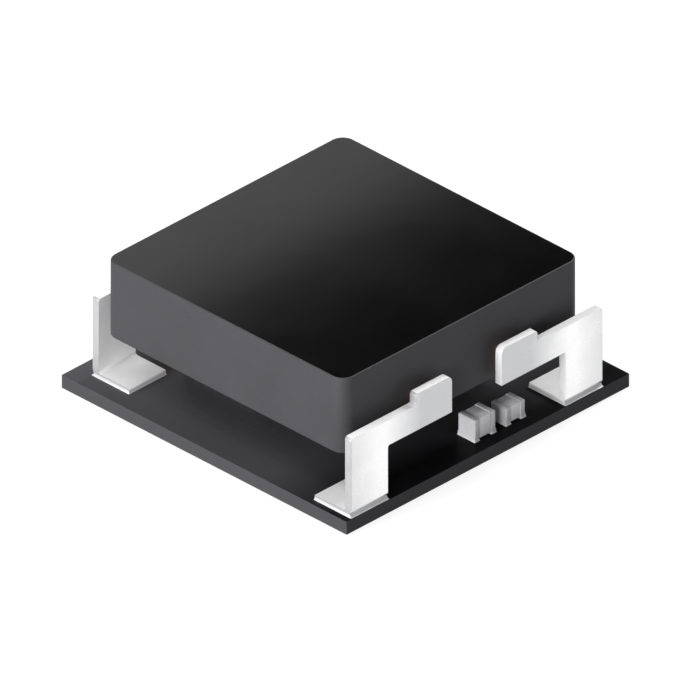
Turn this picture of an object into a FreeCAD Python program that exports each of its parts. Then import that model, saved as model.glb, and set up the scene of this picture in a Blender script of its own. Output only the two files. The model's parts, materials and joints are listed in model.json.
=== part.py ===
import FreeCAD, Part
import math
import os

from FreeCAD import Vector

os.makedirs("parts", exist_ok=True)

# A power module: a square inductor block is held over a laminate board by four bent metal clips.
# The board's centre is on the Z axis and its underside is at Z = 0. Lengths are in millimetres.
# Right is +X, left is -X, near is -Y and far is +Y.

# Magnetic block, pressed from iron powder round its two conductors
block_length = 13.4
block_width = 13.5
block_height = 3.5
block_corner = 0.6
block_edge = 0.08
block_lift = 2.35

# Flat copper conductors, one for each phase, that run through the block along X
bar_width = 1.1
bar_height = 0.9
bar_spacing = 4.84
bar_rise = 0.99
bar_reach = 0.475
bar_end_run = 1.6
bar_ramp_angle = 30.0
bar_bend = 0.5

# Clips, stamped and bent from tinned copper sheet, their feet pressed thinner
sheet = 0.35
foot_thickness = 0.18
bend_inside = 0.12
leg_width = 2.1
foot_length = 2.05
arm_height = 1.2
plate_width = 2.05
plate_height = 1.72
plate_corner = 0.3
step_corner = 0.15
crook_fillet = 0.1
right_leg_overhang = 0.37
left_leg_inset = 0.16

# Laminate board, which reaches past the clips by these margins
board_thickness = 0.6
margin_right = 0.075
margin_left = 0.875
margin_near = 0.33
margin_far = 1.43

# Lands on the underside, flush with the mask between them
land_pitch = 1.27
land_web = 0.64
land_thickness = 0.035
land_edge_gap = 0.95
land_mark = 0.2

# Solder: the film under a foot or chip end, and the fillet that climbs its sides
solder_film = 0.03
solder_flare = 0.04
foot_climb = 0.1
chip_climb = 0.15

# Chip parts: metal ends wrap a ceramic body
end_skin = 0.03
end_chamfer = 0.04

tall_chip_length = 1.2
tall_chip_width = 0.95
tall_chip_height = 0.97
low_chip_length = 1.1
low_chip_width = 0.87
low_chip_height = 0.76
edge_chip_band = 0.26
edge_chip_margin = 0.65
edge_chip_start = 0.46
edge_chip_gap = 0.57

bulk_length = 2.0
bulk_width = 1.25
bulk_height = 1.25
bulk_band = 0.42
bulk_gap = 0.35
bulk_edge_gap = 0.45
bulk_count = 4

small_length = 1.0
small_width = 0.5
small_height = 0.5
resistor_height = 0.35
small_band = 0.22
small_gap = 0.45
small_count = 4

# Moulded packages: flat leads sit flush in the underside
stage_length = 4.5
stage_width = 4.5
stage_height = 0.9
stage_gap = 0.7
controller_side = 4.0
controller_height = 0.8
package_gap = 0.35
controller_gap = 0.5
stage_to_output_gap = 0.95
lead_pitch = 0.5
lead_width = 0.25
lead_length = 0.4
lead_thickness = 0.2
lead_corner_gap = 0.6
pad_gap = 0.3
dimple_radius = 0.25
dimple_depth = 0.05
dimple_inset = 0.6

# An arc may take up this share of a side of its outline
corner_room = 0.45

# Places that follow from the sizes
clip_reach = block_length / 2 + bar_reach + sheet
right_leg_outer = block_width / 2 + right_leg_overhang
left_leg_outer = block_width / 2 - left_leg_inset
board_length = 2 * clip_reach + margin_left + margin_right
board_width = 2 * max(right_leg_outer, left_leg_outer) + margin_near + margin_far
board_top = board_thickness
center_x = (margin_left - margin_right) / 2
center_y = (margin_near - margin_far) / 2
block_bottom = board_top + block_lift
bar_z = block_bottom + bar_rise
plate_bottom = bar_z - plate_height / 2
plate_top = bar_z + plate_height / 2
arm_top = plate_bottom + arm_height
foot_bottom = board_top + solder_film
bend_outside = bend_inside + foot_thickness
left_toe = center_x - clip_reach + foot_length
output_y = board_width / 2 - bulk_edge_gap - bulk_width / 2
electronics_y = output_y - bulk_width / 2 - stage_to_output_gap - stage_width - stage_gap / 2
stage_left = left_toe + package_gap
controller_x = stage_left + stage_length + controller_gap + controller_side / 2


def box(x, y, z, low):
    return Part.makeBox(x, y, z, low)


def centered_box(x, y, z, bottom):
    return box(x, y, z, Vector(-x / 2, -y / 2, bottom))


def rounded_outline(corners):
    # A closed outline from points and radii. Each arc is held to the room that its two sides leave.
    points = [corner[0] for corner in corners]
    entries = []
    for index, (point, radius) in enumerate(corners):
        before = points[index - 1] - point
        after = points[(index + 1) % len(points)] - point
        if radius == 0:
            entries.append((point, None, point))
            continue
        half = before.getAngle(after) / 2
        room = corner_room * min(before.Length, after.Length)
        trim = min(radius / math.tan(half), room)
        turned = trim * math.tan(half)
        before.normalize()
        after.normalize()
        inward = before + after
        inward.normalize()
        middle = point + inward * (turned / math.sin(half) - turned)
        entries.append((point + before * trim, middle, point + after * trim))
    edges = []
    for index, (start, middle, end) in enumerate(entries):
        previous_end = entries[index - 1][2]
        edges.append(Part.LineSegment(previous_end, start).toShape())
        if middle is not None:
            edges.append(Part.Arc(start, middle, end).toShape())
    return Part.Wire(edges)


def prism(corners, along):
    return Part.Face(rounded_outline(corners)).extrude(along)


def rectangle(x_low, x_high, y_low, y_high, z):
    return Part.makePolygon([
        Vector(x_low, y_low, z),
        Vector(x_high, y_low, z),
        Vector(x_high, y_high, z),
        Vector(x_low, y_high, z),
        Vector(x_low, y_low, z),
    ])


# Board and its lands

def land_line(length):
    # Places of the land centres along one side of the board
    count = int((length - 2 * land_edge_gap) / land_pitch) + 1
    first = -(count - 1) * land_pitch / 2
    return [first + index * land_pitch for index in range(count)]


def land(x, y, marked):
    # A square land. The marked one has a corner cut off, which tells which way round the module goes.
    half = (land_pitch - land_web) / 2
    if not marked:
        return box(2 * half, 2 * half, land_thickness, Vector(x - half, y - half, 0))
    outline = Part.makePolygon([
        Vector(x - half + land_mark, y - half, 0),
        Vector(x + half, y - half, 0),
        Vector(x + half, y + half, 0),
        Vector(x - half, y + half, 0),
        Vector(x - half, y - half + land_mark, 0),
        Vector(x - half + land_mark, y - half, 0),
    ])
    return Part.Face(outline).extrude(Vector(0, 0, land_thickness))


def make_lands():
    columns = land_line(board_length)
    rows = land_line(board_width)
    lands = []
    for x in columns:
        for y in rows:
            lands.append(land(x, y, x == columns[0] and y == rows[0]))
    return lands


def make_board(lands):
    board = centered_box(board_length, board_width, board_thickness, 0)
    return board.cut(Part.makeCompound(lands))


# Inductor

def make_bar(side_y):
    # A bar joggled up to the middle of the block, so that it has as much powder above it as below
    middle_z = block_bottom + block_height / 2
    angle = math.radians(bar_ramp_angle)
    ramp = (middle_z - bar_z) / math.tan(angle)
    miter = bar_height / 2 * math.tan(angle / 2)
    end = block_length / 2 + bar_reach
    foot = block_length / 2 - bar_end_run
    head = foot - ramp
    low = bar_z - bar_height / 2
    high = bar_z + bar_height / 2
    middle_low = middle_z - bar_height / 2
    middle_high = middle_z + bar_height / 2
    outline = [
        (Vector(end, 0, low), 0),
        (Vector(end, 0, high), 0),
        (Vector(foot + miter, 0, high), bar_bend),
        (Vector(head + miter, 0, middle_high), bar_bend),
        (Vector(-head - miter, 0, middle_high), bar_bend),
        (Vector(-foot - miter, 0, high), bar_bend),
        (Vector(-end, 0, high), 0),
        (Vector(-end, 0, low), 0),
        (Vector(-foot + miter, 0, low), bar_bend),
        (Vector(-head + miter, 0, middle_low), bar_bend),
        (Vector(head - miter, 0, middle_low), bar_bend),
        (Vector(foot - miter, 0, low), bar_bend),
    ]
    bar = prism(outline, Vector(0, bar_width, 0))
    bar.translate(Vector(center_x, center_y + side_y * bar_spacing / 2 - bar_width / 2, 0))
    return bar


def make_block(bars):
    # A block with rounded corners and slightly broken edges, pressed tight round the bars
    body = centered_box(block_length, block_width, block_height, block_bottom)
    upright = [edge for edge in body.Edges if abs(edge.tangentAt(0).z) > 0.5]
    body = body.makeFillet(block_corner, upright)
    rims = [edge for edge in body.Edges if edge.BoundBox.ZLength < block_edge]
    body = body.makeChamfer(block_edge, rims)
    body.translate(Vector(center_x, center_y, 0))
    return body.cut(Part.makeCompound(bars))


# Clips

def stamped_outline(leg_outer):
    # The clip seen along X: a leg, an arm from the top of the leg, and a taller plate at the arm's end
    leg_inner = leg_outer - leg_width
    plate_inner = bar_spacing / 2 - plate_width / 2
    plate_outer = plate_inner + plate_width
    return [
        (Vector(0, leg_outer, foot_bottom), 0),
        (Vector(0, leg_outer, arm_top), step_corner),
        (Vector(0, plate_outer, arm_top), crook_fillet),
        (Vector(0, plate_outer, plate_top), step_corner),
        (Vector(0, plate_inner, plate_top), plate_corner),
        (Vector(0, plate_inner, plate_bottom), 0),
        (Vector(0, leg_inner, plate_bottom), crook_fillet),
        (Vector(0, leg_inner, foot_bottom), 0),
    ]


def bent_section():
    # The clip seen along Y: the sheet stands against the bar's end and its foot turns in under the block
    outer = clip_reach
    inner = clip_reach - sheet
    toe = clip_reach - foot_length
    foot_top = foot_bottom + foot_thickness
    return [
        (Vector(outer, 0, foot_bottom), bend_outside),
        (Vector(outer, 0, plate_top), 0),
        (Vector(inner, 0, plate_top), 0),
        (Vector(inner, 0, foot_top), bend_inside),
        (Vector(toe, 0, foot_top), 0),
        (Vector(toe, 0, foot_bottom), 0),
    ]


def to_corner(shape, side_x, side_y):
    # Carries what was made in the right far corner about the block's centre to its own corner
    moved = shape.copy()
    if side_x < 0:
        moved = moved.mirror(Vector(0, 0, 0), Vector(1, 0, 0))
    if side_y < 0:
        moved = moved.mirror(Vector(0, 0, 0), Vector(0, 1, 0))
    moved.translate(Vector(center_x, center_y, 0))
    return moved


def make_clip(leg_outer):
    sheet_metal = prism(bent_section(), Vector(0, leg_outer, 0))
    stamped = prism(stamped_outline(leg_outer), Vector(clip_reach, 0, 0))
    return sheet_metal.common(stamped)


def solder_mound(x_low, x_high, y_low, y_high, climb, tuck):
    # Solder that spreads on its land and climbs the sides of what stands on it, which leans in by the tuck
    flare = solder_flare
    base = rectangle(x_low - flare, x_high + flare, y_low - flare, y_high + flare, board_top)
    top = rectangle(x_low, x_high - tuck, y_low, y_high, foot_bottom + climb)
    return Part.makeLoft([base, top], True, True)


def make_foot_solder(leg_outer, clip):
    # The solder reaches up the outside of the bend, which curves away from it
    toe = clip_reach - foot_length
    rise = max(bend_outside - foot_climb, 0)
    tuck = bend_outside - math.sqrt(bend_outside ** 2 - rise ** 2)
    mound = solder_mound(toe, clip_reach, leg_outer - leg_width, leg_outer, foot_climb, tuck)
    return mound.cut(clip)


# Chip parts

def make_chip(length, width, height, band):
    # A ceramic body along X with a metal cap over each end, and the solder joint under each cap
    core = centered_box(length - 2 * end_skin, width - 2 * end_skin, height - 2 * end_skin, end_skin)
    outside = centered_box(length, width, height, 0)
    outside = outside.makeChamfer(end_chamfer, outside.Edges)
    caps = outside.cut(centered_box(length - 2 * band, width, height, 0)).cut(core)
    core.translate(Vector(0, 0, foot_bottom))
    caps.translate(Vector(0, 0, foot_bottom))
    whole = core.fuse(caps)
    joints = []
    for inner, outer in ((-length / 2, band - length / 2), (length / 2 - band, length / 2)):
        mound = solder_mound(inner, outer, -width / 2, width / 2, chip_climb, 0)
        joints.append(mound.cut(whole))
    return core, caps, Part.makeCompound(joints)


def put(shape, x, y, turn):
    moved = shape.copy()
    moved.rotate(Vector(0, 0, 0), Vector(0, 0, 1), turn)
    moved.translate(Vector(x, y, 0))
    return moved


def export(name, shape):
    shape.exportStep("parts/" + name + ".step")


def place_chip(name, chip, x, y, turn):
    # Writes a chip's body and its ends, and gives back its solder
    core, caps, joints = chip
    export(name + "_body", put(core, x, y, turn))
    export(name + "_ends", put(caps, x, y, turn))
    return put(joints, x, y, turn).Solids


def place_edge_chips():
    # Two unlike chips beside each other at the right edge, lengthwise along Y
    tall = make_chip(tall_chip_length, tall_chip_width, tall_chip_height, edge_chip_band)
    low = make_chip(low_chip_length, low_chip_width, low_chip_height, edge_chip_band)
    outer_x = board_length / 2 - edge_chip_margin
    tall_y = center_y + edge_chip_start + tall_chip_length / 2
    low_y = tall_y + tall_chip_length / 2 + edge_chip_gap + low_chip_length / 2
    solder = place_chip("edge_capacitor_tall", tall, outer_x - tall_chip_width / 2, tall_y, 90)
    solder += place_chip("edge_capacitor_low", low, outer_x - low_chip_width / 2, low_y, 90)
    return solder


def centered_steps(count, pitch):
    return [(index - (count - 1) / 2) * pitch for index in range(count)]


def place_bulk_capacitors():
    # Input capacitors in a row between the left clips, output capacitors in a row along the far edge
    chip = make_chip(bulk_length, bulk_width, bulk_height, bulk_band)
    solder = []
    input_x = bulk_edge_gap + bulk_length / 2 - board_length / 2
    for index, step in enumerate(centered_steps(bulk_count, bulk_width + bulk_gap)):
        name = "input_capacitor_" + str(index + 1)
        solder += place_chip(name, chip, input_x, center_y + step, 0)
    for index in range(bulk_count):
        name = "output_capacitor_" + str(index + 1)
        output_x = stage_left + bulk_length / 2 + index * (bulk_length + bulk_gap)
        solder += place_chip(name, chip, output_x, output_y, 0)
    return solder


def place_small_parts():
    # Setting resistors on the near side of the controller and bypass capacitors on its far side
    capacitor = make_chip(small_length, small_width, small_height, small_band)
    resistor = make_chip(small_length, small_width, resistor_height, small_band)
    row = controller_side / 2 + small_gap + small_length / 2
    solder = []
    for index, step in enumerate(centered_steps(small_count, small_width + small_gap)):
        x = controller_x + step
        number = str(index + 1)
        solder += place_chip("setting_resistor_" + number, resistor, x, electronics_y - row, 90)
        solder += place_chip("bypass_capacitor_" + number, capacitor, x, electronics_y + row, 90)
    return solder


# Moulded packages

def lead_row(side, across):
    # Leads along the side of a package that looks along +X, from its centre
    count = int((side - 2 * lead_corner_gap) / lead_pitch) + 1
    inner = across / 2 - lead_length
    leads = []
    for step in centered_steps(count, lead_pitch):
        leads.append(box(lead_length, lead_width, lead_thickness, Vector(inner, step - lead_width / 2, 0)))
    return leads


def make_package(length, width, height):
    # A moulded body with a lead frame in its underside: leads along four sides and a pad in the middle
    inset = 2 * (lead_length + pad_gap)
    frame = [centered_box(length - inset, width - inset, lead_thickness, 0)]
    sides = ((0, width, length), (90, length, width), (180, width, length), (270, length, width))
    for turn, side, across in sides:
        for lead in lead_row(side, across):
            lead.rotate(Vector(0, 0, 0), Vector(0, 0, 1), turn)
            frame.append(lead)
    frame = Part.makeCompound(frame)
    corner = Vector(dimple_inset - length / 2, width / 2 - dimple_inset, height - dimple_depth)
    dimple = Part.makeCylinder(dimple_radius, dimple_depth, corner)
    mould = centered_box(length, width, height, 0).cut(frame).cut(dimple)
    return mould, frame


def place_package(name, package, x, y):
    mould, frame = package
    seat = Vector(x, y, board_top)
    for shape, suffix in ((mould, "_mould"), (frame, "_leads")):
        moved = shape.copy()
        moved.translate(seat)
        export(name + suffix, moved)


def place_packages():
    # A power stage for each phase, and the controller beside them
    stage = make_package(stage_length, stage_width, stage_height)
    controller = make_package(controller_side, controller_side, controller_height)
    stage_x = stage_left + stage_length / 2
    apart = (stage_width + stage_gap) / 2
    place_package("power_stage_near", stage, stage_x, electronics_y - apart)
    place_package("power_stage_far", stage, stage_x, electronics_y + apart)
    place_package("controller", controller, controller_x, electronics_y)


def place_clips():
    # Four clips on their feet, the right pair wider apart than the left pair
    solder = []
    for side_name, side_x, leg_outer in (("right", 1, right_leg_outer), ("left", -1, left_leg_outer)):
        clip = make_clip(leg_outer)
        joint = make_foot_solder(leg_outer, clip)
        for row_name, side_y in (("near", -1), ("far", 1)):
            export("clip_" + side_name + "_" + row_name, to_corner(clip, side_x, side_y))
            solder.append(to_corner(joint, side_x, side_y))
    export("foot_solder", Part.makeCompound(solder))


def main():
    lands = make_lands()
    export("underside_lands", Part.makeCompound(lands))
    export("laminate_board", make_board(lands))
    near_bar = make_bar(-1)
    far_bar = make_bar(1)
    export("conductor_near", near_bar)
    export("conductor_far", far_bar)
    export("inductor_block", make_block([near_bar, far_bar]))
    place_clips()
    place_packages()
    chip_joints = place_edge_chips() + place_bulk_capacitors() + place_small_parts()
    export("chip_solder", Part.makeCompound(chip_joints))


main()
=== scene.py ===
import bpy
import bmesh
import json
import math
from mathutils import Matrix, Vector


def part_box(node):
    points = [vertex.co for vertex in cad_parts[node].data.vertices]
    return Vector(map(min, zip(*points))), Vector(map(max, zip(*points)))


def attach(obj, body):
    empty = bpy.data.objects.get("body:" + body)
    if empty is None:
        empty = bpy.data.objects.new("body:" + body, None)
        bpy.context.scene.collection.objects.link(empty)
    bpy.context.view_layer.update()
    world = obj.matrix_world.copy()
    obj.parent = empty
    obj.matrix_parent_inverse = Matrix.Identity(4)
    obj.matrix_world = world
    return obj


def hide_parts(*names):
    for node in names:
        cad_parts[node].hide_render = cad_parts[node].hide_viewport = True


# A power module: a black inductor block held over a laminate board by four tinned clips.
# Everything is in metres, and mm turns millimetres into them.

mm = 0.001
hair = 0.001 * mm  # less than any real difference in height or place

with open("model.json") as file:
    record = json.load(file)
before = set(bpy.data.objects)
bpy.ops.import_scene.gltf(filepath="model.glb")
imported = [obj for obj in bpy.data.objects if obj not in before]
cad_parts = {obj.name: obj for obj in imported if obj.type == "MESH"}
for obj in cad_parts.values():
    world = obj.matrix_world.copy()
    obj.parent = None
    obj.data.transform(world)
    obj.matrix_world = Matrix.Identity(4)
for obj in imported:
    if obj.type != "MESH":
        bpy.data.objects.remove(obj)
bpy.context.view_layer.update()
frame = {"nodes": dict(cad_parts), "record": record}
nodes = frame["nodes"]
scene = bpy.context.scene
print("frame loaded,", len(nodes), "nodes")


# camera, square on to the photograph's view

cameraSetup = {
    "azimuth": 44.759,
    "elevation": 31.392,
    "pixelsPerMm": 25.079,
    "originPixel": (345.438, 387.035),  # where the centre of the board's underside shows
    "imageSize": 700,
    "distance": 200 * mm,
    "nearest": 1 * mm,
    "furthest": 10,
}


def makeCamera(setup):
    turn = math.radians(setup["azimuth"])
    lift = math.radians(setup["elevation"])
    right = Vector((math.cos(turn), math.sin(turn), 0))
    back = Vector((math.sin(turn) * math.cos(lift), -math.cos(turn) * math.cos(lift), math.sin(lift)))
    up = back.cross(right)
    middle = setup["imageSize"] / 2
    alongRight = (middle - setup["originPixel"][0]) / setup["pixelsPerMm"] * mm
    alongUp = (setup["originPixel"][1] - middle) / setup["pixelsPerMm"] * mm
    data = bpy.data.cameras.new("moduleCamera")
    data.type = "ORTHO"
    data.ortho_scale = setup["imageSize"] / setup["pixelsPerMm"] * mm
    data.clip_start = setup["nearest"]
    data.clip_end = setup["furthest"]
    camera = bpy.data.objects.new("moduleCamera", data)
    camera.location = right * alongRight + up * alongUp + back * setup["distance"]
    camera.rotation_mode = "QUATERNION"
    camera.rotation_quaternion = (-back).to_track_quat("-Z", "Y")
    scene.collection.objects.link(camera)
    scene.camera = camera


makeCamera(cameraSetup)
print("camera set")


# small helpers that build shader nodes

def join(tree, start, startSocket, end, endSocket):
    tree.links.new(start.outputs[startSocket], end.inputs[endSocket])


def band(tree, source, socket, low, high, toLow, toHigh):
    # a value carried from one range to another, held at its ends
    ramp = tree.nodes.new("ShaderNodeMapRange")
    ramp.inputs["From Min"].default_value = low
    ramp.inputs["From Max"].default_value = high
    ramp.inputs["To Min"].default_value = toLow
    ramp.inputs["To Max"].default_value = toHigh
    join(tree, source, socket, ramp, "Value")
    return ramp


def combine(tree, operation, first, firstSocket, second, secondSocket=0):
    # one value from two, where the second may be a plain number
    node = tree.nodes.new("ShaderNodeMath")
    node.operation = operation
    join(tree, first, firstSocket, node, 0)
    if isinstance(second, bpy.types.Node):
        join(tree, second, secondSocket, node, 1)
    else:
        node.inputs[1].default_value = second
    return node


def scaleSum(tree, first, firstSocket, amount, second, secondSocket):
    # first times amount, plus second
    node = tree.nodes.new("ShaderNodeMath")
    node.operation = "MULTIPLY_ADD"
    node.inputs[1].default_value = amount
    join(tree, first, firstSocket, node, 0)
    join(tree, second, secondSocket, node, 2)
    return node


def splitAxes(tree, place, socket):
    split = tree.nodes.new("ShaderNodeSeparateXYZ")
    join(tree, place, socket, split, 0)
    return split


# studio: white floor, dim room and soft lamps

studio = {
    "floorSide": 6.0,
    "floorDrop": 0.02 * mm,  # the lands stand on the floor, so it lies just under them
    "floorColour": (0.32, 0.32, 0.32, 1),
    "floorGlow": 0.75,
    "roomFront": 0.6,
    "frontFade": (0.35, -1.0),  # the front glow starts at the first and is full at the second
    "roomRight": 0.22,
    "rightFade": (-0.1, 0.6),
}


def seenDirectly(tree):
    # 1 for what the camera, a shiny face or a clear one looks at, 0 for soft light
    path = tree.nodes.new("ShaderNodeLightPath")
    first = combine(tree, "MAXIMUM", path, "Is Camera Ray", path, "Is Glossy Ray")
    return combine(tree, "MAXIMUM", first, 0, path, "Is Transmission Ray")


def makeFloor(setup):
    half = setup["floorSide"] / 2
    mesh = bpy.data.meshes.new("studioFloor")
    z = -setup["floorDrop"]
    corners = [(-half, -half, z), (half, -half, z), (half, half, z), (-half, half, z)]
    mesh.from_pydata(corners, [], [(0, 1, 2, 3)])
    floor = bpy.data.objects.new("studioFloor", mesh)
    scene.collection.objects.link(floor)
    material = bpy.data.materials.new("whiteFloor")
    material.use_nodes = True
    material.cycles.emission_sampling = "NONE"  # the glow is only looked at, and lights nothing
    tree = material.node_tree
    tree.nodes.clear()
    output = tree.nodes.new("ShaderNodeOutputMaterial")
    diffuse = tree.nodes.new("ShaderNodeBsdfDiffuse")
    diffuse.inputs["Color"].default_value = setup["floorColour"]
    glow = tree.nodes.new("ShaderNodeEmission")
    strength = combine(tree, "MULTIPLY", seenDirectly(tree), 0, setup["floorGlow"])
    join(tree, strength, 0, glow, "Strength")
    both = tree.nodes.new("ShaderNodeAddShader")
    join(tree, diffuse, 0, both, 0)
    join(tree, glow, 0, both, 1)
    join(tree, both, 0, output, "Surface")
    mesh.materials.append(material)


def makeRoom(setup):
    # lighter on the near side, which the tin and the block's left side look at, a little lighter
    # on the right, and dark at the back left, which the block's top mirrors
    world = bpy.data.worlds.new("dimRoom")
    scene.world = world
    world.use_nodes = True
    tree = world.node_tree
    tree.nodes.clear()
    output = tree.nodes.new("ShaderNodeOutputWorld")
    background = tree.nodes.new("ShaderNodeBackground")
    split = splitAxes(tree, tree.nodes.new("ShaderNodeTexCoord"), "Generated")
    front = band(tree, split, "Y", *setup["frontFade"], 0.0, setup["roomFront"])
    right = band(tree, split, "X", *setup["rightFade"], 0.0, setup["roomRight"])
    for glow in (front, right):
        glow.interpolation_type = "SMOOTHSTEP"
    join(tree, combine(tree, "MAXIMUM", front, 0, right), 0, background, "Strength")
    join(tree, background, 0, output, "Surface")


lamps = {
    # place, aim and size in millimetres, level as the brightness of the lamp's own face
    "mirroredPanel": {"place": (-54.8, 29, 31), "aim": (-54.8, 29, 0), "size": (50, 90), "level": 0.88},
    "overheadLamp": {"place": (-50, -70, 140), "aim": (0, 0, 0), "size": (100, 100), "level": 3.4},
    "backLamp": {"place": (-5, 140, 110), "aim": (0, 0, 0), "size": (60, 60), "level": 22.0},
    "frontLamp": {"place": (-6, -175, 38), "aim": (0, 0, 2), "size": (70, 60), "level": 20.0},
    "cornerLamp": {"place": (82, -155, 40), "aim": (0, 0, 2), "size": (60, 60), "level": 14.0},
}


def softLamp(name, setup):
    wide = setup["size"][0] * mm
    deep = setup["size"][1] * mm
    place = Vector(setup["place"]) * mm
    aim = Vector(setup["aim"]) * mm
    data = bpy.data.lights.new(name, "AREA")
    data.shape = "RECTANGLE"
    data.size = wide
    data.size_y = deep
    data.energy = math.pi * wide * deep * setup["level"]
    lamp = bpy.data.objects.new(name, data)
    lamp.location = place
    lamp.rotation_mode = "QUATERNION"
    lamp.rotation_quaternion = (aim - place).to_track_quat("-Z", "Y")
    lamp.visible_camera = False
    scene.collection.objects.link(lamp)


makeFloor(studio)
makeRoom(studio)
for lampName, lampSetup in lamps.items():
    softLamp(lampName, lampSetup)
print("studio lit")


# small helpers for the finishes

toneSpread = (0.35, 0.7)  # the part of a noise's range that carries its tones
roughSpread = (0.3, 0.7)  # and the part that carries its roughness
cloudSpread = (0.35, 0.65)  # and that of a soft cloud


def newFinish(name):
    material = bpy.data.materials.new(name)
    material.use_nodes = True
    tree = material.node_tree
    shader = tree.nodes["Principled BSDF"]
    place = tree.nodes.new("ShaderNodeTexCoord")
    return material, tree, shader, place


def grain(tree, place, size, detail=3.0, stretch=(1, 1, 1), roughness=0.5):
    # noise whose lumps are about size across, drawn out along an axis by a stretch above 1
    mapping = tree.nodes.new("ShaderNodeMapping")
    mapping.inputs["Scale"].default_value = [1 / (size * part) for part in stretch]
    noise = tree.nodes.new("ShaderNodeTexNoise")
    noise.inputs["Scale"].default_value = 1.0
    noise.inputs["Detail"].default_value = detail
    noise.inputs["Roughness"].default_value = roughness
    join(tree, place, "Object", mapping, "Vector")
    join(tree, mapping, 0, noise, "Vector")
    return noise


def blendColours(tree, factor, factorSocket, first, second):
    # first and second are plain colours, or blends made here before
    mix = tree.nodes.new("ShaderNodeMix")
    mix.data_type = "RGBA"
    join(tree, factor, factorSocket, mix, 0)
    for colour, socket in ((first, 6), (second, 7)):
        if isinstance(colour, bpy.types.Node):
            join(tree, colour, 2, mix, socket)
        else:
            mix.inputs[socket].default_value = colour
    return mix


def mottle(tree, shader, noise, light, dark, rough):
    # one noise takes the colour from light to dark and the roughness from low to high
    level = band(tree, noise, 0, *toneSpread, 0.0, 1.0)
    colour = blendColours(tree, level, 0, light, dark)
    join(tree, colour, 2, shader, "Base Color")
    join(tree, band(tree, noise, 0, *roughSpread, *rough), 0, shader, "Roughness")
    return colour


def relief(tree, shader, source, depth, strength, under=None):
    # height in metres, laid over the relief under it if there is one
    bump = tree.nodes.new("ShaderNodeBump")
    bump.inputs["Distance"].default_value = depth
    bump.inputs["Strength"].default_value = strength
    join(tree, source, 0, bump, "Height")
    if under is not None:
        join(tree, under, 0, bump, "Normal")
    join(tree, bump, 0, shader, "Normal")
    return bump


def facingMask(tree, place, axis, low, high):
    # 1 where the surface looks along that axis
    return band(tree, splitAxes(tree, place, "Normal"), axis, low, high, 0.0, 1.0)


# small helpers for the shapes

weld = {
    "gap": 0.002 * mm,  # facets' corners closer than this are one
    "flat": math.radians(1.5),  # facets that meet flatter than this become one face
    "sharp": math.radians(32),  # edges that turn more than this are rounded
    "crease": math.radians(38),  # edges that turn more than this stay crisp in the shading
}


def newPiece(name, shape, finishes, slotName, *replaced):
    mesh = bpy.data.meshes.new(name)
    shape.to_mesh(mesh)
    shape.free()
    for finish in finishes:
        mesh.materials.append(finish)
    mesh.shade_smooth()
    mesh.set_sharp_from_angle(angle=weld["crease"])
    piece = bpy.data.objects.new(name, mesh)
    scene.collection.objects.link(piece)
    even = piece.modifiers.new("evenShading", "WEIGHTED_NORMAL")
    even.keep_sharp = True
    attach(piece, "root")
    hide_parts(*replaced)
    return piece


def cutAway(piece, nodeNames):
    # takes the nodes' solids out of the piece, before its shading is evened
    for name in nodeNames:
        cut = piece.modifiers.new("cut_" + name, "BOOLEAN")
        cut.operation = "DIFFERENCE"
        cut.solver = "EXACT"
        cut.object = nodes[name]
    piece.modifiers.move(0, len(nodeNames))


def softenedSolid(nodeName, softness, steps):
    # the node's own solid, its facets joined and its sharp edges rounded a little
    shape = bmesh.new()
    shape.from_mesh(nodes[nodeName].data)
    bmesh.ops.remove_doubles(shape, verts=shape.verts, dist=weld["gap"])
    bmesh.ops.dissolve_limit(shape, angle_limit=weld["flat"], verts=shape.verts, edges=shape.edges)
    sharp = []
    for edge in shape.edges:
        if len(edge.link_faces) == 2 and edge.calc_face_angle() > weld["sharp"]:
            sharp.append(edge)
    bmesh.ops.bevel(
        shape, geom=sharp, offset=softness, segments=steps, profile=0.5, affect="EDGES", clamp_overlap=True
    )
    return shape


def roundedRing(shape, low, high, radius, steps, z):
    # a rectangle with rounded corners, as a ring of vertices at height z
    ring = []
    corners = [
        (high[0] - radius, high[1] - radius, 0),
        (low[0] + radius, high[1] - radius, 90),
        (low[0] + radius, low[1] + radius, 180),
        (high[0] - radius, low[1] + radius, 270),
    ]
    for x, y, start in corners:
        for step in range(steps + 1):
            angle = math.radians(start + 90 * step / steps)
            ring.append(shape.verts.new((x + radius * math.cos(angle), y + radius * math.sin(angle), z)))
    return ring


def ringBands(shape, rings):
    # faces from each ring to the next, closed by the first and the last
    for under, over in zip(rings, rings[1:]):
        for index in range(len(under)):
            after = (index + 1) % len(under)
            shape.faces.new((under[index], under[after], over[after], over[index]))
    shape.faces.new(list(reversed(rings[0])))
    shape.faces.new(rings[-1])


# board: black mask over faint tracks, darker on the right by painted shade, with its plies showing round
# the edge

boardLook = {
    "facing": (0.4, 0.6),  # how squarely a face looks up or down where the mask starts and is whole
    "maskTone": (0.063, 0.063, 0.069, 1),
    "maskShadeTone": (0.005, 0.005, 0.006, 1),
    "shadeEnds": (7.8 * mm, 4.2 * mm),  # the painted shade on the right of the mask comes in between these
    "shadeEdgeWave": 2.5 * mm,
    "shadeEdgeSwing": 1.5 * mm,
    "maskSpecular": (0.03, 0.1),  # in the painted shade and outside it
    "maskRoughness": (0.34, 0.39),
    "maskClouds": 1.6 * mm,
    "edgeRoughness": 0.75,
    "plyDark": (0.045, 0.045, 0.049, 1),
    "plyLight": (0.071, 0.071, 0.076, 1),
    "plyPitch": 0.1 * mm,
    "plyContrast": 0.6,
    "fibreSize": 0.22 * mm,
    "fibreStretch": (3, 3, 0.25),
    "fibreContrast": 0.5,
    "trackPitch": 0.55 * mm,
    "trackGap": 0.09,
    "trackSoftness": 0.6,
    "trackLength": 5.0,
    "trackRelief": 0.006 * mm,
    "trackStrength": 0.3,
    "skinSize": 0.5 * mm,
    "skinRelief": 0.5,
}


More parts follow.
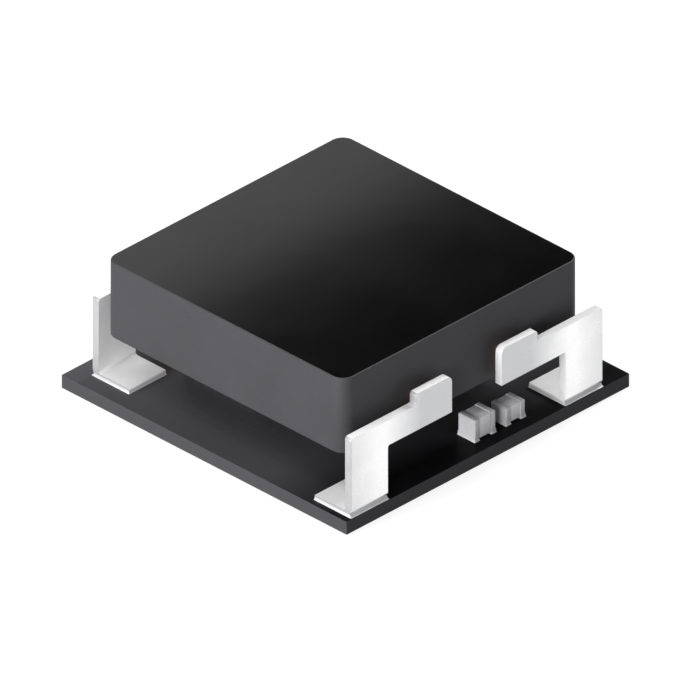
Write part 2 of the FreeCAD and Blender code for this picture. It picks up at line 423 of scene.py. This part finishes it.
def trackPattern(tree, place, look):
    # long bricks stand for the tracks, with gaps between them
    tracks = tree.nodes.new("ShaderNodeTexBrick")
    tracks.offset = 0.5
    tracks.inputs["Scale"].default_value = 1 / look["trackPitch"]
    tracks.inputs["Mortar Size"].default_value = look["trackGap"]
    tracks.inputs["Mortar Smooth"].default_value = look["trackSoftness"]
    tracks.inputs["Brick Width"].default_value = look["trackLength"]
    tracks.inputs["Row Height"].default_value = 1.0
    join(tree, place, "Object", tracks, "Vector")
    return tracks


def laminateFinish(look):
    material, tree, shader, place = newFinish("boardLaminate")
    start, whole = look["facing"]
    up = facingMask(tree, place, "Z", start, whole)
    down = facingMask(tree, place, "Z", -start, -whole)
    flat = combine(tree, "MAXIMUM", up, 0, down)
    split = splitAxes(tree, place, "Object")

    fibre = grain(tree, place, look["fibreSize"], detail=4.0, stretch=look["fibreStretch"])
    plies = combine(tree, "PINGPONG", split, "Z", look["plyPitch"] / 2)
    plyTone = band(tree, plies, 0, 0.0, look["plyPitch"] / 2, 0.0, look["plyContrast"])
    edgeTone = scaleSum(tree, fibre, 0, look["fibreContrast"], plyTone, 0)
    edge = blendColours(tree, edgeTone, 0, look["plyDark"], look["plyLight"])

    wave = grain(tree, place, look["shadeEdgeWave"], detail=1.0)
    shifted = scaleSum(tree, wave, 0, look["shadeEdgeSwing"], split, "X")
    # painted shade: the mask darkens to near black on the right, with less shine there too
    outsideShade = band(tree, shifted, 0, *look["shadeEnds"], 0.0, 1.0)
    mask = blendColours(tree, outsideShade, 0, look["maskShadeTone"], look["maskTone"])
    join(tree, blendColours(tree, flat, 0, edge, mask), 2, shader, "Base Color")
    shine = band(tree, outsideShade, 0, 0.0, 1.0, *look["maskSpecular"])
    join(tree, shine, 0, shader, "Specular IOR Level")

    cloud = grain(tree, place, look["maskClouds"], detail=2.0)
    gloss = band(tree, cloud, 0, *cloudSpread, *look["maskRoughness"])
    rough = tree.nodes.new("ShaderNodeMix")
    rough.inputs[2].default_value = look["edgeRoughness"]
    join(tree, flat, 0, rough, 0)
    join(tree, gloss, 0, rough, 3)
    join(tree, rough, 0, shader, "Roughness")

    tracks = trackPattern(tree, place, look)
    skin = grain(tree, place, look["skinSize"], detail=2.0)
    height = scaleSum(tree, skin, 0, look["skinRelief"], tracks, "Fac")
    masked = combine(tree, "MULTIPLY", height, 0, flat)
    relief(tree, shader, masked, look["trackRelief"], look["trackStrength"])
    return material


# block: pressed metal powder, its top under a smooth gloss coat whose near-black colour is painted shade,
# darker than the sides

blockLook = {
    "cornerRadius": 0.6 * mm,
    "cornerSteps": 14,
    "rimRound": 0.07 * mm,
    "rimSteps": 3,
    "powderDark": (0.031, 0.031, 0.0345, 1),
    "powderLight": (0.049, 0.049, 0.054, 1),
    "powderGrain": 0.07 * mm,
    "powderClouds": 2.2 * mm,
    "cloudContrast": 0.35,
    "powderSpread": (0.45, 0.9),
    "powderRoughness": (0.58, 0.74),
    "powderSpecular": 0.35,
    "powderRelief": 0.008 * mm,
    "powderStrength": 0.6,
    "lacquerShadeColour": (0.0014, 0.0014, 0.0016, 1),
    "lacquerClouds": 2.5 * mm,
    "lacquerRoughness": (0.145, 0.165),
    "lacquerRipple": 0.9 * mm,
    "rippleRelief": 0.004 * mm,
    "rippleStrength": 0.35,
    "lacquerGrain": 0.05 * mm,
    "grainRelief": 0.0015 * mm,
    "grainStrength": 0.3,
}


def powderFinish(look):
    material, tree, shader, place = newFinish("pressedPowder")
    specks = grain(tree, place, look["powderGrain"], detail=5.0, roughness=0.6)
    cloud = grain(tree, place, look["powderClouds"], detail=2.0)
    tone = scaleSum(tree, cloud, 0, look["cloudContrast"], specks, 0)
    level = band(tree, tone, 0, *look["powderSpread"], 0.0, 1.0)
    colour = blendColours(tree, level, 0, look["powderDark"], look["powderLight"])
    join(tree, colour, 2, shader, "Base Color")
    join(tree, band(tree, specks, 0, *roughSpread, *look["powderRoughness"]), 0, shader, "Roughness")
    shader.inputs["Specular IOR Level"].default_value = look["powderSpecular"]
    relief(tree, shader, specks, look["powderRelief"], look["powderStrength"])
    return material


def lacquerAndShadeFinish(look):
    material, tree, shader, place = newFinish("glossBlackPaintedShade")
    # painted shade: the top's colour is near black, far below the sides', so the top reads darker; the
    # gloss is the coat's own
    shader.inputs["Base Color"].default_value = look["lacquerShadeColour"]
    cloud = grain(tree, place, look["lacquerClouds"], detail=3.0)
    join(tree, band(tree, cloud, 0, *cloudSpread, *look["lacquerRoughness"]), 0, shader, "Roughness")
    ripple = grain(tree, place, look["lacquerRipple"], detail=1.0)
    rippled = relief(tree, shader, ripple, look["rippleRelief"], look["rippleStrength"])
    fine = grain(tree, place, look["lacquerGrain"], detail=2.0)
    relief(tree, shader, fine, look["grainRelief"], look["grainStrength"], rippled)
    return material


def roundedBlock(low, high, look):
    shape = bmesh.new()
    ring = roundedRing(shape, low, high, look["cornerRadius"], look["cornerSteps"], low.z)
    underside = shape.faces.new(ring)
    grown = bmesh.ops.extrude_face_region(shape, geom=[underside])
    lifted = [item for item in grown["geom"] if isinstance(item, bmesh.types.BMVert)]
    bmesh.ops.translate(shape, verts=lifted, vec=(0, 0, high.z - low.z))
    bmesh.ops.recalc_face_normals(shape, faces=shape.faces)
    rims = [edge for edge in shape.edges if abs(edge.verts[0].co.z - edge.verts[1].co.z) < hair]
    bmesh.ops.bevel(
        shape, geom=rims, offset=look["rimRound"], segments=look["rimSteps"], profile=0.5, affect="EDGES"
    )
    return shape


def makeBlock(look, finishes):
    low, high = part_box("inductor_block")
    shape = roundedBlock(low, high, look)
    for face in shape.faces:
        # the top faces take the gloss coat, whose colour carries painted shade
        if face.calc_center_median().z > high.z - hair:
            face.material_index = 1
    piece = newPiece("inductorBlock", shape, finishes, "pressed_powder", "inductor_block")
    cutAway(piece, ("conductor_near", "conductor_far"))


# clips: stamped and bent strip, bright tin outside, matt tin inside, sheared bare on the outer edges

clipNodes = ("clip_right_far", "clip_right_near", "clip_left_far", "clip_left_near")

clipLook = {
    "softness": 0.018 * mm,
    "steps": 2,
    "bendHeight": 0.56 * mm,  # the bend lies under this, over the clip's lowest point
    "legFacing": 0.97,
    "bendFacing": 0.15,
    "bendUnder": -0.05,
    "edgeFacing": 0.35,
    "stains": 0.9 * mm,
    "middleY": -0.55 * mm,  # the clips are mirrored about this line
    "brightTin": (0.93, 0.93, 0.935, 1),
    "stainedAndShadedTin": (0.54, 0.545, 0.555, 1),
    "plateShadeFade": (3.0 * mm, 5.2 * mm),  # the plates' painted shade fades out between these from the middle
    "rimShadeFade": (5.6 * mm, 7.2 * mm),  # and the painted shade of the outer ends comes in between these
    "rimShadeDepth": 0.55,
    "stainContrast": 0.25,
    "stainShadeSpread": (0.1, 1.1),
    "brightMetal": 0.9,
    "brightRoughness": (0.24, 0.31),
    "rolledSize": 0.06 * mm,
    "rolledStretch": (1, 1, 20),
    "rolledRoughness": 0.03,
    "rolledRelief": 0.001 * mm,
    "rolledStrength": 0.08,
    "mattTin": (0.89, 0.89, 0.895, 1),
    "mattShade": (0.82, 0.82, 0.83, 1),
    "mattMetal": 0.1,
    "mattRoughness": (0.42, 0.52),
    "mattSpecks": 0.03 * mm,
    "mattRelief": 0.003 * mm,
    "mattStrength": 0.4,
    "cutTin": (0.42, 0.42, 0.43, 1),
    "cutShade": (0.36, 0.36, 0.37, 1),
    "cutMetal": 0.3,
    "cutRoughness": (0.40, 0.50),
    "cutLines": 0.025 * mm,
    "cutStretch": (10, 10, 1),
    "cutRelief": 0.003 * mm,
    "cutStrength": 0.5,
}


def brightTinFinish(look):
    # painted shade: the plates and the outer ends of the strip are darker than the middle, which keeps its
    # bright tin; stains add a little random dullness
    material, tree, shader, place = newFinish("brightTin")
    stains = grain(tree, place, look["stains"])
    rolled = grain(tree, place, look["rolledSize"], detail=2.0, stretch=look["rolledStretch"])
    fromMiddle = combine(tree, "SUBTRACT", splitAxes(tree, place, "Object"), "Y", look["middleY"])
    away = combine(tree, "ABSOLUTE", fromMiddle, 0, 0.0)
    # painted shade: the plates near the middle and the outer ends are darkened
    plateShade = band(tree, away, 0, *look["plateShadeFade"], 1.0, 0.0)
    rimShade = band(tree, away, 0, *look["rimShadeFade"], 0.0, look["rimShadeDepth"])
    paintedShade = combine(tree, "ADD", plateShade, 0, rimShade)
    cloud = scaleSum(tree, stains, 0, look["stainContrast"], paintedShade, 0)
    level = band(tree, cloud, 0, *look["stainShadeSpread"], 0.0, 1.0)
    colour = blendColours(tree, level, 0, look["brightTin"], look["stainedAndShadedTin"])
    join(tree, colour, 2, shader, "Base Color")
    shader.inputs["Metallic"].default_value = look["brightMetal"]
    stained = band(tree, stains, 0, *roughSpread, *look["brightRoughness"])
    rough = scaleSum(tree, rolled, 0, look["rolledRoughness"], stained, 0)
    join(tree, rough, 0, shader, "Roughness")
    relief(tree, shader, rolled, look["rolledRelief"], look["rolledStrength"])
    return material


def mattTinFinish(look):
    material, tree, shader, place = newFinish("mattTin")
    stains = grain(tree, place, look["stains"])
    mottle(tree, shader, stains, look["mattTin"], look["mattShade"], look["mattRoughness"])
    shader.inputs["Metallic"].default_value = look["mattMetal"]
    specks = grain(tree, place, look["mattSpecks"])
    relief(tree, shader, specks, look["mattRelief"], look["mattStrength"])
    return material


def cutEdgeFinish(look):
    # sheared edges, with the lines that the die draws across the sheet
    material, tree, shader, place = newFinish("cutEdge")
    stains = grain(tree, place, look["stains"])
    mottle(tree, shader, stains, look["cutTin"], look["cutShade"], look["cutRoughness"])
    shader.inputs["Metallic"].default_value = look["cutMetal"]
    dieLines = grain(tree, place, look["cutLines"], detail=2.0, stretch=look["cutStretch"])
    relief(tree, shader, dieLines, look["cutRelief"], look["cutStrength"])
    return material


def makeClip(nodeName, look, finishes):
    low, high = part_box(nodeName)
    side = 1 if low.x > 0 else -1
    endSide = 1 if high.y > -low.y else -1
    outer = max(abs(low.x), abs(high.x))
    shape = softenedSolid(nodeName, look["softness"], look["steps"])
    for face in shape.faces:
        middle = face.calc_center_median()
        outward = face.normal.x * side
        onLeg = outward > look["legFacing"] and abs(middle.x) > outer - 2 * hair
        onBend = outward > look["bendFacing"] and face.normal.z < look["bendUnder"]
        onBend = onBend and middle.z < low.z + look["bendHeight"]
        if onLeg or onBend:
            face.material_index = 0
        elif face.normal.y * endSide > look["edgeFacing"]:
            face.material_index = 2
        else:
            face.material_index = 1
    newPiece(nodeName + "_strip", shape, finishes, "tinned_sheet", nodeName)


# solder: a hollow fillet that climbs from the board to the sides of each foot

footSolderLook = {
    "footWidth": 2.1 * mm,
    "flare": 0.04 * mm,
    "lip": 0.004 * mm,
    "tuck": 0.0764 * mm,  # the bend leans in by this where the solder ends
    "cornerRadius": 0.012 * mm,
    "cornerSteps": 5,
    "climbSteps": 7,
}


def filletRings(shape, low, high, side, bottom, top, look):
    # rings from the wide base up to the narrow lip, hollow in between
    rings = []
    for step in range(look["climbSteps"] + 1):
        angle = math.radians(90 * step / look["climbSteps"])
        spread = look["lip"] + (look["flare"] - look["lip"]) * (1 - math.sin(angle))
        z = bottom + (top - bottom) * (1 - math.cos(angle))
        lean = look["tuck"] * step / look["climbSteps"]
        ringLow = (low[0] - spread + (lean if side < 0 else 0), low[1] - spread)
        ringHigh = (high[0] + spread - (lean if side > 0 else 0), high[1] + spread)
        radius = look["cornerRadius"] + spread
        rings.append(roundedRing(shape, ringLow, ringHigh, radius, look["cornerSteps"], z))
    return rings


def makeFootSolder(look, finish):
    bottom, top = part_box("foot_solder")
    shape = bmesh.new()
    for clip in clipNodes:
        low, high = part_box(clip)
        side = 1 if low.x > 0 else -1
        if abs(high.y) > abs(low.y):
            footLow = (low.x, high.y - look["footWidth"])
            footHigh = (high.x, high.y)
        else:
            footLow = (low.x, low.y)
            footHigh = (high.x, low.y + look["footWidth"])
        ringBands(shape, filletRings(shape, footLow, footHigh, side, bottom.z, top.z, look))
    piece = newPiece("footSolder", shape, [finish], "solder", "foot_solder")
    cutAway(piece, clipNodes)


# the same under every chip end, as a tray that the end stands in

chipSolderLook = {
    # how far the solder reaches along the chip, by words in its name
    "bands": {"edge_capacitor": 0.26 * mm, "put_capacitor": 0.42 * mm, "": 0.22 * mm},
    "flare": 0.04 * mm,
    "lip": 0.004 * mm,
    "tuck": 0,
    "cornerRadius": 0.008 * mm,
    "cornerSteps": 4,
    "climbSteps": 5,
    "film": 0.03 * mm,
    "underBody": 0.055 * mm,  # how high the solder may stand under the ceramic
}


def solderTray(shape, low, high, inward, bottom, top, look):
    rings = filletRings(shape, low, high, 0, bottom, top, look)
    for z in (top, bottom + look["film"]):
        rings.append(roundedRing(shape, low, high, look["cornerRadius"], look["cornerSteps"], z))
    # the side that looks towards the chip's middle stays low
    axis, sign = inward
    limit = high[axis] if sign > 0 else low[axis]
    for ring in rings:
        for vert in ring:
            if (vert.co[axis] - limit) * sign > -look["cornerRadius"] / 2:
                vert.co.z = min(vert.co.z, bottom + look["underBody"])
    ringBands(shape, rings)


def makeChipSolder(look, finish):
    bottom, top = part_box("chip_solder")
    shape = bmesh.new()
    for name in nodes:
        if not name.endswith("_ends"):
            continue
        low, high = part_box(name)
        wide = next(wide for words, wide in look["bands"].items() if words in name)
        axis = 0 if high.x - low.x > high.y - low.y else 1
        for sign in (1, -1):
            trayLow = [low.x, low.y]
            trayHigh = [high.x, high.y]
            if sign > 0:
                trayHigh[axis] = trayLow[axis] + wide
            else:
                trayLow[axis] = trayHigh[axis] - wide
            solderTray(shape, trayLow, trayHigh, (axis, sign), bottom.z, top.z, look)
    newPiece("chipSolder", shape, [finish], "solder", "chip_solder")


# chip parts: plated ends with rounded edges over a ground ceramic body

chipLook = {
    "endRound": 0.02 * mm,
    "bodyRound": 0.025 * mm,
    "steps": 3,
    "ceramicSlots": ("edge_ceramic", "capacitor_ceramic", "resistor_ceramic"),
}


def makeChips(look, finishes):
    count = 0
    for entry in frame["record"]["subparts"]:
        name = entry["node"]
        slotName = entry["material_slot"]
        if name.endswith("_ends"):
            shape = softenedSolid(name, look["endRound"], look["steps"])
        elif slotName in look["ceramicSlots"]:
            shape = softenedSolid(name, look["bodyRound"], look["steps"])
        else:
            continue
        newPiece(name + "_soft", shape, [finishes[slotName]], slotName, name)
        count += 1
    return count


# metals of the small parts, by slot

metalLook = {
    "land_gold": {
        "name": "landGold",
        "tones": ((0.93, 0.70, 0.36, 1), (0.83, 0.58, 0.27, 1)),
        "metal": 1.0,
        "rough": (0.24, 0.36),
        "lumps": 0.4 * mm,
        "stretch": (1, 1, 1),
        "relief": 0.002 * mm,
    },
    "bar_copper": {
        "name": "barCopper",
        "tones": ((0.86, 0.52, 0.38, 1), (0.70, 0.38, 0.26, 1)),
        "metal": 1.0,
        "rough": (0.24, 0.38),
        "lumps": 0.6 * mm,
        "stretch": (20, 1, 1),
        "relief": 0.003 * mm,
    },
    "solder": {
        "name": "solder",
        "tones": ((0.62, 0.62, 0.63, 1), (0.57, 0.57, 0.58, 1)),
        "metal": 0.2,
        "rough": (0.34, 0.44),
        "lumps": 0.3 * mm,
        "stretch": (3, 3, 3),
        "relief": 0.0005 * mm,
    },
    "lead_frame": {
        "name": "leadFrame",
        "tones": ((0.78, 0.77, 0.75, 1), (0.66, 0.65, 0.63, 1)),
        "metal": 1.0,
        "rough": (0.30, 0.42),
        "lumps": 0.3 * mm,
        "stretch": (1, 1, 12),
        "relief": 0.002 * mm,
    },
    "chip_ends": {
        "name": "chipEnds",
        "tones": ((0.57, 0.57, 0.59, 1), (0.52, 0.52, 0.54, 1)),
        "metal": 0.1,
        "rough": (0.46, 0.58),
        "lumps": 0.25 * mm,
        "stretch": (2, 2, 2),
        "relief": 0.001 * mm,
    },
}

# moulds and ceramics, by slot, with a glaze on top of the resistors

stoneLook = {
    "package_mould": {
        "name": "packageMould",
        "tones": ((0.020, 0.020, 0.022, 1), (0.034, 0.034, 0.036, 1)),
        "rough": (0.46, 0.6),
        "specks": 0.04 * mm,
        "relief": 0.004 * mm,
    },
    "edge_ceramic": {
        "name": "greyCeramic",
        "tones": ((0.76, 0.76, 0.79, 1), (0.67, 0.67, 0.70, 1)),
        "rough": (0.36, 0.5),
        "specks": 0.05 * mm,
        "relief": 0.003 * mm,
    },
    "capacitor_ceramic": {
        "name": "tanCeramic",
        "tones": ((0.36, 0.22, 0.13, 1), (0.27, 0.16, 0.09, 1)),
        "rough": (0.34, 0.46),
        "specks": 0.05 * mm,
        "relief": 0.003 * mm,
    },
    "resistor_ceramic": {
        "name": "alumina",
        "tones": ((0.80, 0.79, 0.76, 1), (0.70, 0.69, 0.66, 1)),
        "rough": (0.4, 0.5),
        "specks": 0.05 * mm,
        "relief": 0.002 * mm,
        "glaze": (0.010, 0.010, 0.012, 1),
        "glazeFacing": (0.6, 0.8),
    },
}

lineScale = 0.08  # a metal's fine lines against its stains
partRelief = 0.4


def metalFinish(look):
    material, tree, shader, place = newFinish(look["name"])
    stains = grain(tree, place, look["lumps"])
    lines = grain(tree, place, look["lumps"] * lineScale, stretch=look["stretch"])
    mottle(tree, shader, stains, *look["tones"], look["rough"])
    shader.inputs["Metallic"].default_value = look["metal"]
    relief(tree, shader, lines, look["relief"], partRelief)
    return material


def stoneFinish(look):
    material, tree, shader, place = newFinish(look["name"])
    specks = grain(tree, place, look["specks"], detail=4.0)
    colour = mottle(tree, shader, specks, *look["tones"], look["rough"])
    if "glaze" in look:
        up = facingMask(tree, place, "Z", *look["glazeFacing"])
        glazed = blendColours(tree, up, 0, colour, look["glaze"])
        join(tree, glazed, 2, shader, "Base Color")
    relief(tree, shader, specks, look["relief"], partRelief)
    return material


finishes = {
    "board_laminate": laminateFinish(boardLook),
    "pressed_powder": powderFinish(blockLook),
    "tinned_sheet": mattTinFinish(clipLook),
}
for slotName, slotLook in metalLook.items():
    finishes[slotName] = metalFinish(slotLook)
for slotName, slotLook in stoneLook.items():
    finishes[slotName] = stoneFinish(slotLook)
for entry in frame["record"]["subparts"]:
    node = nodes[entry["node"]]
    node.data.materials.clear()
    node.data.materials.append(finishes[entry["material_slot"]])
print("finishes given to", len(nodes), "nodes")

makeBlock(blockLook, [finishes["pressed_powder"], lacquerAndShadeFinish(blockLook)])
print("block pressed")

clipFinishes = [brightTinFinish(clipLook), finishes["tinned_sheet"], cutEdgeFinish(clipLook)]
for clipNode in clipNodes:
    makeClip(clipNode, clipLook, clipFinishes)
print("clips bent")

makeFootSolder(footSolderLook, finishes["solder"])
makeChipSolder(chipSolderLook, finishes["solder"])
print("feet and chips soldered")

print("chips placed:", makeChips(chipLook, finishes), "pieces")

scene.view_settings.view_transform = "Standard"
